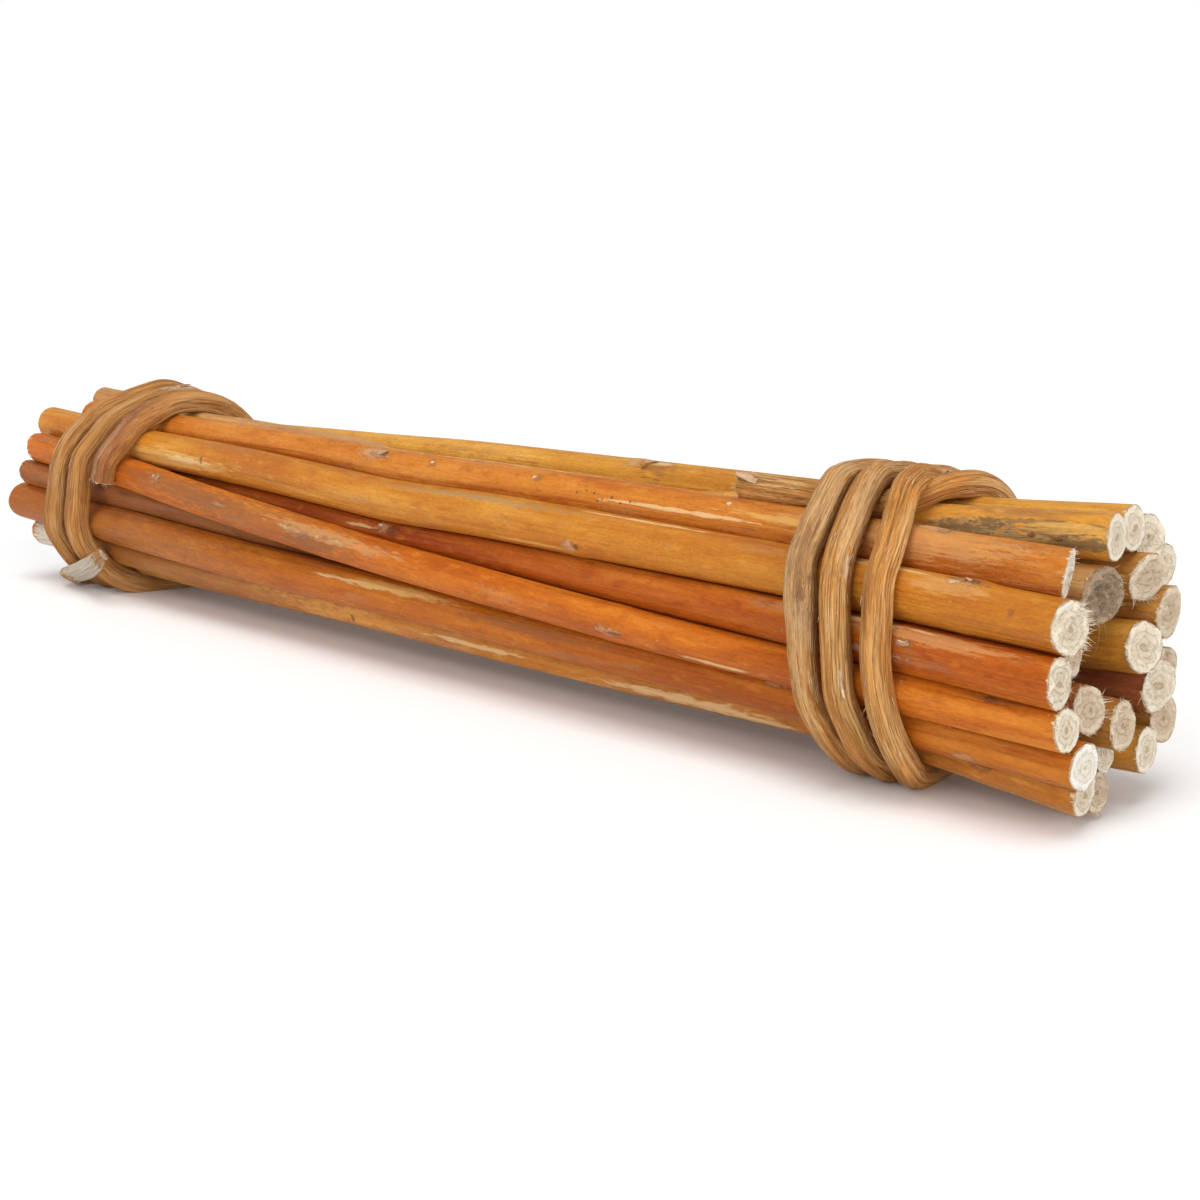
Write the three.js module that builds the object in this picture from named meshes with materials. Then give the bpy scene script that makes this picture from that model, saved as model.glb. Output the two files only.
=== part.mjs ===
// A bundle of willow twigs lying on its side, tied near each end with a thinner willow rod.
// Millimetres. X runs along the bundle towards the end that the photograph shows, -Y is its
// front and +Z is up. The origin is the middle of the underside, on the resting surface.

import * as THREE from 'three';
import { mergeVertices } from 'three/addons/utils/BufferGeometryUtils.js';

// Facets of a twig, and the places along it at which it can bend
const twigSides = 10;
const twigStations = 13;
const farStation = -96;
const nearStation = 108;

// The three places at which the table below says where each twig lies
const farPlace = -98;
const middlePlace = 10;
const nearPlace = 110;

// The outline of the bundle: its reach at the two bindings, how much fuller it is between
// them, and how much it spreads beyond each of them
const waistReach = 14.2;
const belly = 0.6;
const farWaist = -73;
const nearWaist = 87;
const farSplay = 0.7;
const nearSplay = 1.9;
const clearance = 0.28;

// Facets of a binding, the length of each of its steps, and how far below the axis its turns
// are pressed flat by the surface that the bundle lies on
const strandSides = 8;
const strandStep = 3.7;
const restReach = 16.7;

// Every twig: its clock position in degrees and its reach from the axis at the near place, the
// middle and the far place, its thickness near and far, where its two cut ends are, and how far
// the near cut leans out of square and towards which clock position. 0 is the front, 90 the
// top. One twig stands proud of the others at its far end.
const twigs = [
  {
    name: 'twig_stained', near: [80, 12.8], middle: [108, 7.8], far: [112, 8.2],
    thick: [4.5, 4.4], ends: [110.6, -96], lean: [6, 180],
  },
  {
    name: 'twig_red_upper', near: [45, 13.0], middle: [64, 12.3], far: [83, 12.6],
    thick: [4.7, 4.4], ends: [109.6, -92], lean: [22, 200],
  },
  {
    name: 'twig_ochre', near: [24, 12.4], middle: [37, 12.2], far: [63, 12.4],
    thick: [5.2, 5.9], ends: [111.6, -98], lean: [9, 10],
  },
  {
    name: 'twig_dark_red', near: [1, 12.3], middle: [16, 9.2], far: [38, 7.6],
    thick: [4.9, 4.2], ends: [111.2, -97], lean: [5, 160],
  },
  {
    name: 'twig_orange', near: [-23, 12.3], middle: [-3, 12.2], far: [36, 12.3],
    thick: [4.2, 4.8], ends: [111.6, -95], lean: [4, 60],
  },
  {
    name: 'twig_brown_orange', near: [-48, 12.4], middle: [-28, 12.3], far: [-11, 12.3],
    thick: [4.6, 6.2], ends: [112.0, -99], lean: [3, 0],
  },
  {
    name: 'twig_tan_low', near: [-67, 14.3], middle: [-60, 12.5], far: [-42, 12.4],
    thick: [4.3, 4.8], ends: [110.6, -97], lean: [7, 240],
  },
  {
    name: 'twig_under_front', near: [-88, 12.7], middle: [-83, 12.5], far: [-67, 12.4],
    thick: [4.2, 4.6], ends: [109.4, -96], lean: [8, 90],
  },
  {
    name: 'twig_under_back', near: [-118, 11.7], middle: [-108, 12.5], far: [-93, 12.4],
    thick: [4.7, 4.6], ends: [110.6, -98], lean: [4, 150],
  },
  {
    name: 'twig_back_low', near: [218, 13.2], middle: [227, 12.4], far: [242, 12.6],
    thick: [5.0, 4.4], ends: [110.0, -94], lean: [3, 30],
  },
  {
    name: 'twig_back_lower', near: [195, 13.0], middle: [203, 12.4], far: [219, 12.6],
    thick: [4.8, 4.4], ends: [108.6, -97], lean: [10, 300],
  },
  {
    name: 'twig_back', near: [169, 13.4], middle: [181, 12.4], far: [197, 12.4],
    thick: [4.9, 4.4], ends: [107.8, -99], lean: [12, 260],
  },
  {
    name: 'twig_back_upper', near: [145, 13.2], middle: [157, 12.4], far: [174, 12.4],
    thick: [4.8, 4.5], ends: [108.6, -95], lean: [9, 330],
  },
  {
    name: 'twig_back_high', near: [124, 13.3], middle: [134, 12.4], far: [152, 12.4],
    thick: [4.5, 4.8], ends: [109.0, -98], lean: [14, 40],
  },
  {
    name: 'twig_yellow', near: [103, 13.2], middle: [103, 12.0], far: [130, 12.4],
    thick: [4.5, 4.6], ends: [109.6, -94], lean: [5, 90],
  },
  {
    name: 'twig_slant_cut', near: [68, 7.3], middle: [82, 9.8], far: [103, 15.6],
    thick: [5.5, 4.3], ends: [109.8, -96], lean: [14, 350], proud: 2.2,
  },
  {
    name: 'twig_torn', near: [118, 9.0], middle: [144, 7.7], far: [146, 7.6],
    thick: [4.7, 4.2], ends: [110.8, -96], lean: [18, 330],
  },
  {
    name: 'twig_inner_back', near: [151, 8.4], middle: [179, 7.7], far: [180, 7.5],
    thick: [5.4, 4.2], ends: [111.4, -97], lean: [6, 220],
  },
  {
    name: 'twig_inner_gold', near: [160, 4.6], middle: [196, 1.8], far: [190, 1.6],
    thick: [5.2, 4.2], ends: [111.4, -95], lean: [12, 20],
  },
  {
    name: 'twig_inner_purple', near: [207, 8.7], middle: [214, 7.7], far: [214, 7.5],
    thick: [5.4, 4.2], ends: [111.0, -98], lean: [8, 340],
  },
  {
    name: 'twig_inner_pith', near: [-80, 7.0], middle: [-73, 7.5], far: [-72, 7.5],
    thick: [4.8, 4.2], ends: [111.6, -96], lean: [4, 90],
  },
  {
    name: 'twig_inner_low', near: [-97, 10.6], middle: [-110, 7.7], far: [-112, 7.5],
    thick: [4.0, 4.4], ends: [108.4, -95], lean: [9, 120],
  },
  {
    name: 'twig_inner_front', near: [11, 6.4], middle: [24, 4.4], far: [-18, 6.0],
    thick: [4.4, 4.3], ends: [109.0, -98], lean: [10, 190],
  },
  {
    name: 'twig_crossing', near: [-46, 6.4], middle: [-32, 8.2], far: [12, 11.6],
    thick: [4.8, 4.0], ends: [110.4, -97], lean: [11, 60],
  },
];

// The two bindings: the route that the rod follows, as clock position and place along the
// bundle, its thickness at its first and last end, up to which clock position and from which
// one it lies slack in the groove between two twigs, where its own turns cross those slack
// ends, where and how far it is lifted over its earlier turns, and how thin its end is shaved.
const nearBinding = {
  name: 'binding_near',
  route: [
    [67, 65.8], [67, 76], [68, 83], [72, 87.8], [82, 90.2], [98, 90.8], [125, 90.4], [180, 89.7],
    [240, 89.0], [270, 89.2], [292, 90.8], [315, 92.5], [360, 92.1], [405, 90.4], [450, 87.8],
    [495, 87.0], [540, 86.4], [600, 85.8], [630, 86.0], [652, 87.0], [675, 87.6], [720, 87.0],
    [765, 85.0], [810, 83.4], [855, 82.9], [900, 82.4], [960, 82.0], [990, 82.4], [1012, 83.2],
    [1035, 83.5], [1080, 82.4], [1125, 80.3], [1170, 79.4], [1215, 78.6], [1252, 78.4], [1268, 79.8],
    [1275, 84], [1277, 96],
  ],
  thick: [2.6, 2.9],
  slackUntil: 72,
  slackFrom: 1270,
  slackPaths: [{ clock: 69, from: 66, to: 88.5 }, { clock: 196, from: 79, to: 97 }],
  overlap: { from: 2000, full: 2001, lift: 0 },
  shaved: { from: 1240, full: 1280, thickness: 0.8 },
};
const farBinding = {
  name: 'binding_far',
  route: [
    [15, -64.6], [45, -62.4], [90, -61.6], [125, -62.6], [180, -65.6], [235, -69.4],
    [270, -71.4], [324, -73.2], [360, -72.4], [415, -69.0], [450, -67.4], [485, -67.8],
    [540, -70.6], [595, -75.0], [630, -77.4], [684, -80.4], [720, -79.4], [775, -75.6],
    [810, -73.4], [845, -73.4], [900, -76.0], [955, -80.0], [985, -82.6], [1006, -85.0],
    [1022, -86.0], [1031, -82], [1036, -77], [1046, -68.5], [1056, -61.5],
  ],
  thick: [3.4, 3.6],
  slackUntil: 20,
  slackFrom: 2000,
  slackPaths: [],
  overlap: { from: 1002, full: 1024, lift: 3.7 },
  shaved: { from: 960, full: 1005, thickness: 0.27 },
};

const shades = {
  twig_stained: 0xb98a45, twig_red_upper: 0xc8743a, twig_ochre: 0xc4832f, twig_dark_red: 0xa6512a,
  twig_orange: 0xcb6c26, twig_brown_orange: 0xbf6c26, twig_tan_low: 0xb9793a, twig_yellow: 0xd6a040,
};
const barkShade = 0xbb7436;
const bindingShade = 0xb07a44;

function bark(shade) {
  return new THREE.MeshStandardMaterial({ color: shade, roughness: 0.55, metalness: 0 });
}

// A point across the bundle, from its clock position and its reach from the axis
function across([clock, reach]) {
  const angle = THREE.MathUtils.degToRad(clock);
  return new THREE.Vector2(-reach * Math.cos(angle), reach * Math.sin(angle));
}

// Where a twig would lie if it were alone: one even bend through its three given places
function ownPlace(twig, x) {
  const far = ((x - middlePlace) * (x - nearPlace)) / ((farPlace - middlePlace) * (farPlace - nearPlace));
  const near = ((x - middlePlace) * (x - farPlace)) / ((nearPlace - middlePlace) * (nearPlace - farPlace));
  const point = across(twig.middle).multiplyScalar(1 - far - near);
  point.addScaledVector(across(twig.far), far);
  point.addScaledVector(across(twig.near), near);
  return point;
}

function twigRadius(twig, x) {
  const along = (x - farPlace) / (nearPlace - farPlace);
  return THREE.MathUtils.lerp(twig.thick[1], twig.thick[0], along) / 2;
}

function stationPlace(station) {
  return THREE.MathUtils.lerp(farStation, nearStation, station / (twigStations - 1));
}

function pushApart(spots, radii) {
  for (let a = 0; a < spots.length; a += 1) {
    for (let b = a + 1; b < spots.length; b += 1) {
      const between = spots[b].clone().sub(spots[a]);
      const overlap = radii[a] + radii[b] + clearance - between.length();
      if (overlap > 0) {
        between.setLength(overlap / 2);
        spots[a].sub(between);
        spots[b].add(between);
      }
    }
  }
}

// How far out the twigs may stand: drawn in at the two bindings, free to spread at the ends
function bundleReach(x) {
  const between = (x - farWaist) / (nearWaist - farWaist);
  if (between > 1) return waistReach + (nearSplay * (x - nearWaist)) / (nearPlace - nearWaist);
  if (between < 0) return waistReach + (farSplay * (x - farWaist)) / (farPlace - farWaist);
  return waistReach + belly * Math.sqrt(Math.sin(Math.PI * between));
}

// The twigs are drawn together by the bindings until they touch: at each station they are
// pulled to their own places, kept apart, and evened out along their length
function gatherTwigs() {
  const pull = 0.03;
  const evening = 0.25;
  const rounds = 900;
  const lastRounds = 300;
  const own = [];
  const radii = [];
  for (let station = 0; station < twigStations; station += 1) {
    own.push(twigs.map((twig) => ownPlace(twig, stationPlace(station))));
    radii.push(twigs.map((twig) => twigRadius(twig, stationPlace(station))));
  }
  const spots = own.map((row) => row.map((point) => point.clone()));
  for (let round = 0; round < rounds; round += 1) {
    const settling = round < rounds - lastRounds;
    spots.forEach((row, station) => {
      row.forEach((spot, index) => {
        if (settling) spot.lerp(own[station][index], pull);
        const reach = bundleReach(stationPlace(station)) - radii[station][index];
        const proud = stationPlace(station) < farWaist ? twigs[index].proud ?? 0 : 0;
        spot.clampLength(0, reach + proud);
      });
      pushApart(row, radii[station]);
    });
    for (let station = 1; settling && station < twigStations - 1; station += 1) {
      spots[station].forEach((spot, index) => {
        const even = spots[station - 1][index].clone().lerp(spots[station + 1][index], 0.5);
        spot.lerp(even, evening);
      });
    }
  }
  return spots;
}

const gathered = gatherTwigs();

function twigPoint(index, x) {
  const place = ((x - farStation) / (nearStation - farStation)) * (twigStations - 1);
  const station = THREE.MathUtils.clamp(Math.floor(place), 0, twigStations - 2);
  const from = gathered[station][index];
  return from.clone().lerp(gathered[station + 1][index], place - station);
}

// A closed bar: a cylinder whose rings are laid out anew, one ring for each step
function bentBar(sides, rings, layOut) {
  const steps = rings.length - 1;
  const bar = new THREE.CylinderGeometry(1, 1, 1, sides, steps);
  bar.deleteAttribute('normal');
  bar.deleteAttribute('uv');
  const closed = mergeVertices(bar, 1e-4);
  const corners = closed.attributes.position;
  for (let index = 0; index < corners.count; index += 1) {
    const corner = new THREE.Vector3().fromBufferAttribute(corners, index);
    const ring = rings[Math.round((corner.y + 0.5) * steps)];
    const laid = layOut(ring, corner.x, corner.z);
    corners.setXYZ(index, laid.x, laid.y, laid.z);
  }
  return closed;
}

function twigRings(twig, index) {
  const endRoom = 7;
  const places = [twig.ends[1]];
  for (let station = 0; station < twigStations; station += 1) {
    const x = stationPlace(station);
    if (x > twig.ends[1] + endRoom && x < twig.ends[0] - endRoom) places.push(x);
  }
  places.push(twig.ends[0]);
  return places.map((x) => {
    return { x, spot: twigPoint(index, x), radius: twigRadius(twig, x), last: x === twig.ends[0] };
  });
}

function twigSolid(twig, index) {
  const slope = Math.tan(THREE.MathUtils.degToRad(twig.lean[0]));
  const towards = across([twig.lean[1], 1]);
  return bentBar(twigSides, twigRings(twig, index), (ring, sideways, upwards) => {
    const out = new THREE.Vector2(-sideways, upwards).multiplyScalar(ring.radius);
    const shift = ring.last ? -slope * out.dot(towards) : 0;
    return new THREE.Vector3(ring.x + shift, ring.spot.x + out.x, ring.spot.y + out.y);
  });
}

// The twigs at one place along the bundle as circles, each grown by the room a strand needs
function circlesAt(x, room) {
  return twigs.map((twig, index) => ({ centre: twigPoint(index, x), radius: twigRadius(twig, x) + room }));
}

// Reach of a strand pulled taut round the circles, which bridges the grooves between them
function tautReach(circles, clock) {
  const spread = 48;
  const step = 4;
  let reach = Infinity;
  for (let turn = -spread; turn <= spread; turn += step) {
    const facing = across([clock + turn, 1]);
    const edge = Math.max(...circles.map((circle) => circle.centre.dot(facing) + circle.radius));
    reach = Math.min(reach, edge / Math.cos(THREE.MathUtils.degToRad(turn)));
  }
  return reach;
}

// Reach of a strand that lies along the bundle, sunk into the groove between two twigs
function slackReach(circles, clock) {
  const facing = across([clock, 1]);
  let reach = 0;
  circles.forEach((circle) => {
    const forward = circle.centre.dot(facing);
    const aside = Math.abs(circle.centre.cross(facing));
    if (aside < circle.radius) {
      reach = Math.max(reach, forward + Math.sqrt(circle.radius ** 2 - aside ** 2));
    }
  });
  return reach;
}

// The slack ends of a binding lie under its turns, so the turns ride over them
function slackCircles(binding, x, room) {
  const halfThick = binding.thick[0] / 2;
  const beside = binding.slackPaths.filter((path) => x > path.from - room && x < path.to + room);
  return beside.map((path) => ({
    centre: across([path.clock, slackReach(circlesAt(x, halfThick + clearance), path.clock)]),
    radius: halfThick + room,
  }));
}

function routePoints(route) {
  const degreesPerUnit = 3.5;
  const flat = route.map(([clock, x]) => new THREE.Vector3(clock / degreesPerUnit, x, 0));
  const line = new THREE.CatmullRomCurve3(flat, false, 'centripetal');
  const count = Math.ceil(line.getLength() / 1.2);
  return line.getSpacedPoints(count).map((point) => [point.x * degreesPerUnit, point.y]);
}

// How thick the rod is at a clock position of its route: across it, and from inside to outside
function strandThickness(binding, clock) {
  const firstClock = binding.route[0][0];
  const lastClock = binding.route[binding.route.length - 1][0];
  const along = (clock - firstClock) / (lastClock - firstClock);
  const wide = THREE.MathUtils.lerp(binding.thick[0], binding.thick[1], along);
  const shaving = THREE.MathUtils.smoothstep(clock, binding.shaved.from, binding.shaved.full);
  return { wide, deep: wide * THREE.MathUtils.lerp(1, binding.shaved.thickness, shaving) };
}

function strandPoint(binding, clock, x) {
  const blend = 18;
  const room = strandThickness(binding, clock).deep / 2 + clearance;
  const circles = circlesAt(x, room);
  const taut = tautReach(circles.concat(slackCircles(binding, x, room)), clock);
  const slackStart = 1 - THREE.MathUtils.smoothstep(clock, binding.slackUntil, binding.slackUntil + blend);
  const slackEnd = THREE.MathUtils.smoothstep(clock, binding.slackFrom - blend, binding.slackFrom);
  const reach = THREE.MathUtils.lerp(taut, slackReach(circles, clock), Math.max(slackStart, slackEnd));
  const lifting = THREE.MathUtils.smoothstep(clock, binding.overlap.from, binding.overlap.full);
  const spot = across([clock, reach + binding.overlap.lift * lifting]);
  return new THREE.Vector3(x, spot.x, spot.y);
}

function strandRings(binding) {
  const route = routePoints(binding.route);
  const points = route.map(([clock, x]) => strandPoint(binding, clock, x));
  const line = new THREE.CatmullRomCurve3(points, false, 'centripetal');
  const steps = Math.round(line.getLength() / strandStep);
  const rings = [];
  for (let step = 0; step <= steps; step += 1) {
    const along = step / steps;
    const clock = route[Math.round(line.getUtoTmapping(along) * (route.length - 1))][0];
    const thickness = strandThickness(binding, clock);
    const point = line.getPointAt(along);
    const forward = line.getTangentAt(along);
    const outward = new THREE.Vector3(0, point.y, point.z).normalize();
    const sideways = new THREE.Vector3().crossVectors(forward, outward).normalize();
    outward.crossVectors(sideways, forward).normalize();
    rings.push({ point, outward, sideways, wide: thickness.wide / 2, deep: thickness.deep / 2 });
  }
  return rings;
}

function strandSolid(binding) {
  const halfSide = Math.PI / strandSides;
  return bentBar(strandSides, strandRings(binding), (ring, aside, above) => {
    const turned = new THREE.Vector2(aside, above).rotateAround(new THREE.Vector2(), halfSide);
    const laid = ring.point.clone();
    laid.addScaledVector(ring.sideways, turned.x * ring.wide);
    laid.addScaledVector(ring.outward, turned.y * ring.deep);
    laid.z = Math.max(laid.z, -restReach);
    return laid;
  });
}

const bundle = new THREE.Group();

twigs.forEach((twig, index) => {
  const mesh = new THREE.Mesh(twigSolid(twig, index), bark(shades[twig.name] ?? barkShade));
  mesh.name = twig.name;
  bundle.add(mesh);
});

[nearBinding, farBinding].forEach((binding) => {
  const mesh = new THREE.Mesh(strandSolid(binding), bark(bindingShade));
  mesh.name = binding.name;
  bundle.add(mesh);
});

const box = new THREE.Box3().setFromObject(bundle);
bundle.position.set(-(box.min.x + box.max.x) / 2, -(box.min.y + box.max.y) / 2, -box.min.z);

export default bundle;
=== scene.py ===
import math

import bpy
import numpy as np
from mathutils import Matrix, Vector


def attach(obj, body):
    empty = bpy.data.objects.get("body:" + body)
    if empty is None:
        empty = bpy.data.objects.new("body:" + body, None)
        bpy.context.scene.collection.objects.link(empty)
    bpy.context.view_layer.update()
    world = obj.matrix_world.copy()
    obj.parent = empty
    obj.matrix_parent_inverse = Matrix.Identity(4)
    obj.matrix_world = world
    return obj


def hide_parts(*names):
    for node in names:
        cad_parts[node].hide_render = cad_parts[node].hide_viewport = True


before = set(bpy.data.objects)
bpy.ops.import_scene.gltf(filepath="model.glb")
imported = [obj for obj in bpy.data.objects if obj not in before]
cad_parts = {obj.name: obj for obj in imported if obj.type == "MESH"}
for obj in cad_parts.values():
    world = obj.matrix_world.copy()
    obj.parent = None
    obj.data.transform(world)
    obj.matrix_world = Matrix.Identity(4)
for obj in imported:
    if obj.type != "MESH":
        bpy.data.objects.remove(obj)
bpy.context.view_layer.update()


# THE TWIGS: SHAPE
# Two dozen willow rods, cut to one length and dried with their bark on. Each is nearly round,
# bends a little from end to end, and has faint ridges and swollen bud nodes along it.

twig_sides = 44
twig_step = 1.1
twig_swelling = 0.11
node_length = 1.7
slanted_stretch = 6


def welded(name):
    """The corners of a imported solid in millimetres, each kept once, and the edges between them."""
    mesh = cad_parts[name].data
    corners = np.array([corner.co for corner in mesh.vertices]) * 1000.0
    spots, index = np.unique(np.round(corners, 3), axis=0, return_inverse=True)
    edges = index.reshape(-1)[np.array([edge.vertices[:] for edge in mesh.edges])]
    return spots, edges


def smooth_through(places, values, at):
    """Values read off a smooth line through the given ones."""
    slopes = np.gradient(values, places)
    left = np.clip(np.searchsorted(places, at) - 1, 0, len(places) - 2)
    width = places[left + 1] - places[left]
    part = (at - places[left]) / width
    start = (1 + 2 * part) * (1 - part) ** 2 * values[left]
    end = part ** 2 * (3 - 2 * part) * values[left + 1]
    leaving = part * (1 - part) ** 2 * width * slopes[left]
    arriving = part ** 2 * (part - 1) * width * slopes[left + 1]
    return start + end + leaving + arriving


def twig_line(name):
    """A twig's middle line, its thickness and the slope of its near cut, from its solid."""
    spots, _ = welded(name)
    spots = spots[np.argsort(spots[:, 0])]
    ring_spacing = 3.0
    rings = np.split(spots, np.where(np.diff(spots[:, 0]) > ring_spacing)[0] + 1)
    middles = np.array([ring.mean(axis=0) for ring in rings])
    radii = [np.hypot(*(ring - middle)[:, 1:].T).max() for ring, middle in zip(rings, middles)]
    cut = rings[-1] - middles[-1]
    slope = np.linalg.lstsq(cut[:, 1:], cut[:, 0], rcond=None)[0]
    return middles, radii, slope


def ridges(dice, counts, heights, drift):
    """Lengthwise ridges round a rod, as a height at each clock position and place along it."""
    turns = dice.uniform(0, 2 * np.pi, len(counts))
    drifts = dice.uniform(-drift, drift, len(counts))

    def height(clock, along):
        total = 0.0
        for count, tall, turn, slide in zip(counts, heights, turns, drifts):
            total = total + tall * np.cos(count * clock + turn + slide * along)
        return total

    return height


def strip_faces(rows, columns, first=0):
    """Four-cornered faces of a tube laid out as rows of corners."""
    row, column = np.meshgrid(np.arange(rows - 1), np.arange(columns), indexing="ij")
    after = (column + 1) % columns
    low, high = first + row * columns, first + (row + 1) * columns
    return np.stack([low + column, low + after, high + after, high + column], -1).reshape(-1, 4)


class Shape:
    """Corners, faces and rod coordinates gathered for one piece, in millimetres."""

    def __init__(self):
        self.corners, self.faces, self.slots, self.rod, self.cut = [], [], [], [], []
        self.count = 0

    def add(self, corners, faces, slot, rod, cut):
        corners = np.asarray(corners, float).reshape(-1, 3)
        self.corners.append(corners)
        self.faces.extend([[corner + self.count for corner in face] for face in faces])
        self.slots.extend([slot] * len(faces))
        self.rod.append(np.asarray(rod, float).reshape(-1, 3))
        self.cut.append(np.broadcast_to(np.asarray(cut, float).reshape(-1), len(corners)))
        self.count += len(corners)

    def make(self, name, materials):
        mesh = bpy.data.meshes.new(name)
        mesh.from_pydata((np.concatenate(self.corners) / 1000.0).tolist(), [], self.faces)
        for material in materials:
            mesh.materials.append(material)
        mesh.polygons.foreach_set("material_index", self.slots)
        mesh.shade_smooth()
        rod = mesh.attributes.new("rod", "FLOAT_VECTOR", "POINT")
        rod.data.foreach_set("vector", np.concatenate(self.rod).astype(np.float32).ravel())
        cut = mesh.attributes.new("cut", "FLOAT", "POINT")
        cut.data.foreach_set("value", np.concatenate(self.cut).astype(np.float32))
        piece = bpy.data.objects.new(name, mesh)
        bpy.context.scene.collection.objects.link(piece)
        return piece


def twig_body(shape, name, dice, knots):
    """The bark surface of a twig. Returns what its two cut faces need, and bark_at."""
    middles, radii, slope = twig_line(name)
    ends = middles[[0, -1], 0]
    steps = int((ends[1] - ends[0]) / twig_step)
    along = np.linspace(ends[0], ends[1], steps)
    middle_y = smooth_through(middles[:, 0], middles[:, 1], along)
    middle_z = smooth_through(middles[:, 0], middles[:, 2], along)
    radius = np.interp(along, middles[:, 0], radii) + twig_swelling
    clock = np.arange(twig_sides) * 2 * np.pi / twig_sides
    relief = ridges(dice, (1, 2, 3, 5, 8, 11), (0.03, 0.07, 0.045, 0.03, 0.02, 0.014), 0.035)
    reach = radius[:, None] + relief(clock[None, :], along[:, None])
    for knot, knot_clock, tall in knots:
        near_knot = np.exp(-(((along - knot) / node_length) ** 2))[:, None]
        facing = 0.35 + 0.65 * np.clip(np.cos(clock - math.radians(knot_clock)), 0, 1)[None, :] ** 2
        reach = reach + tall * near_knot * facing
    out_y, out_z = -np.cos(clock), np.sin(clock)
    lean = slope[0] * out_y + slope[1] * out_z
    near_cut = np.clip((along - ends[1] + slanted_stretch) / slanted_stretch, 0, 1)
    leaning = near_cut[:, None] * lean * radius[:, None]
    place = along[:, None] + leaning
    corners = np.stack([place, middle_y[:, None] + out_y * reach, middle_z[:, None] + out_z * reach], -1)
    rod = np.stack([np.broadcast_to(along[:, None], reach.shape), out_y * reach, out_z * reach], -1)
    from_end = np.minimum(along - ends[0], ends[1] - along)
    cut = np.broadcast_to(from_end[:, None], reach.shape)
    shape.add(corners, strip_faces(steps, twig_sides), 0, rod, cut)
    near = dict(rim=corners[-1], rod=rod[-1], way=np.array([1.0, 0, 0]), last=True)
    far = dict(rim=corners[0], rod=rod[0], way=np.array([-1.0, 0, 0]), last=False)

    def bark_at(spot, spot_clock):
        """A point on the bark and the way out of it."""
        out = np.stack([0 * spot, -np.cos(spot_clock), np.sin(spot_clock)], -1)
        middle = np.stack([spot, np.interp(spot, along, middle_y), np.interp(spot, along, middle_z)], -1)
        return middle + out * np.interp(spot, along, radius)[:, None], out

    return near, far, bark_at


# THE TWIGS: CUT FACES
# Each rod was cut across with one stroke, which leaves pale wood with a small pith, a torn
# rim and short loose fibres. Some cuts are clean and some are pulled into long white fibres.

face_rings = (1.0, 0.985, 0.95, 0.9, 0.84, 0.76, 0.67, 0.57, 0.47, 0.37, 0.27, 0.17, 0.08)
face_waves = 14
tallest_tear = 0.5
rim_fibre_thickness = 0.07
face_fibre_thickness = 0.06


def cut_face(shape, dice, end, roughness):
    """An uneven disc of bare wood, closed in the middle. Its cut value is the share of the way out."""
    rim, count = end["rim"], len(end["rim"])
    middle = rim.mean(axis=0)
    depth = np.array(face_rings)[:, None, None]
    rings = middle + (rim - middle) * depth
    rod = end["rod"] * np.where([True, False, False], 1.0, depth)
    waves = dice.normal(0, 1, (face_waves, 2))
    waves *= (dice.uniform(1.2, 6.0, face_waves) / np.linalg.norm(waves, axis=1))[:, None]
    phases = dice.uniform(0, 2 * np.pi, face_waves)
    bumps = np.cos(rod[..., 1:] @ waves.T + phases).mean(axis=-1, keepdims=True)
    tears = np.clip(bumps * roughness * 9 + 0.06, -tallest_tear, tallest_tear)
    rings = rings + end["way"] * tears * (1 - depth ** 10)
    last = (len(face_rings) - 1) * count
    centre = last + count
    around = np.arange(count)
    cap = np.stack([last + around, last + (around + 1) % count, np.full(count, centre)], -1)
    faces = strip_faces(len(face_rings), count).tolist() + cap.tolist()
    if not end["last"]:
        faces = [corners[::-1] for corners in faces]
    corners = np.concatenate([rings.reshape(-1, 3), rings[-1].mean(axis=0)[None]])
    on_rod = np.concatenate([rod.reshape(-1, 3), rod[-1].mean(axis=0)[None]])
    out_share = np.append(np.repeat(face_rings, count), 0.0)
    shape.add(corners, faces, 1, on_rod, out_share)


def loose_fibres(shape, dice, roots, ways, lengths, thick, curl):
    """Hair-thin wood fibres, each a bent three-sided thread that tapers to its tip."""
    count, knots, sides, clear_of_floor = len(roots), 6, 3, 0.05
    part = np.linspace(0, 1, knots)[None, :, None]
    ways = ways / np.linalg.norm(ways, axis=1, keepdims=True)
    bend = np.cross(ways, dice.normal(0, 1, (count, 3)))
    bend /= np.linalg.norm(bend, axis=1, keepdims=True)
    long = np.asarray(lengths)[:, None, None]
    line = roots[:, None] + ways[:, None] * long * part + bend[:, None] * long * curl * part ** 2
    line[..., 2] = np.maximum(line[..., 2], clear_of_floor)
    across = np.cross(ways, bend)
    turn = np.arange(sides) * 2 * np.pi / sides
    thin = thick * (1 - 0.8 * part[..., None]) / 2
    ring = bend[:, None, None] * np.cos(turn)[:, None] + across[:, None, None] * np.sin(turn)[:, None]
    corners = line[:, :, None] + ring * thin
    faces = np.concatenate([strip_faces(knots, sides, fibre * knots * sides) for fibre in range(count)])
    rod = np.repeat(dice.uniform(0, 40, (count, 3)), knots * sides, axis=0)
    shape.add(corners, faces, 2, rod, 0.0)


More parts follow.
